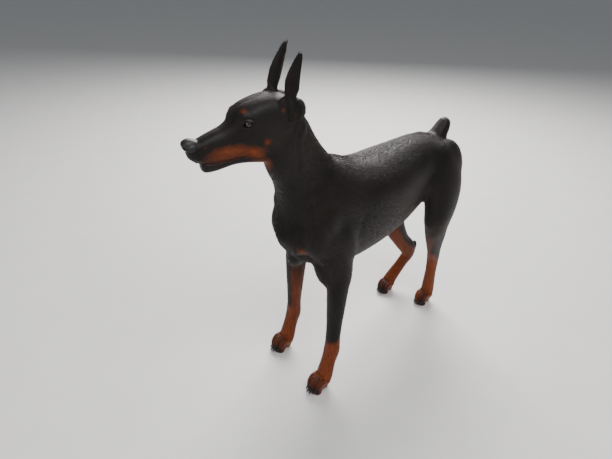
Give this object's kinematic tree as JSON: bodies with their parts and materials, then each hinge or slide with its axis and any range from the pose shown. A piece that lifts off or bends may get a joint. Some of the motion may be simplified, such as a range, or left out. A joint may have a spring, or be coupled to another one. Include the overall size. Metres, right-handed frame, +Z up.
{
  "type": "doberman pinscher",
  "caption": "Life-size standing Doberman pinscher with cropped upright ears, a docked tail and a short black and rust coat, looking slightly to its right.",
  "frame": {"origin": "on the floor, under the middle of the bounding box of the standing dog", "axes": "+Z up, the dog looks along -Y, +X is the dog's left"},
  "size_m": [0.2721, 0.9828, 0.986],
  "materials": {
    "black_coat": "short, dense, glossy black coat",
    "rust_coat": "short, dense rust-coloured coat",
    "nose_leather": "moist black nose leather",
    "eye": "wet dark brown eye",
    "claw": "polished black claw"
  },
  "bodies": {
    "root": {"head": "black_coat", "nose": "nose_leather", "neck": "black_coat", "torso": "black_coat", "tail": "black_coat", "ear_left": "black_coat", "eye_left": "eye", "upper_arm_left": "black_coat", "forearm_left": "black_coat", "forepaw_left": "rust_coat", "thigh_left": "black_coat", "shank_left": "black_coat", "hock_left": "rust_coat", "hindpaw_left": "rust_coat", "foreclaw_left_1": "claw", "foreclaw_left_2": "claw", "foreclaw_left_3": "claw", "foreclaw_left_4": "claw", "hindclaw_left_1": "claw", "hindclaw_left_2": "claw", "hindclaw_left_3": "claw", "hindclaw_left_4": "claw", "ear_right": "black_coat", "eye_right": "eye", "upper_arm_right": "black_coat", "forearm_right": "black_coat", "forepaw_right": "rust_coat", "thigh_right": "black_coat", "shank_right": "black_coat", "hock_right": "rust_coat", "hindpaw_right": "rust_coat", "foreclaw_right_1": "claw", "foreclaw_right_2": "claw", "foreclaw_right_3": "claw", "foreclaw_right_4": "claw", "hindclaw_right_1": "claw", "hindclaw_right_2": "claw", "hindclaw_right_3": "claw", "hindclaw_right_4": "claw"}
  },
  "joints": []
}
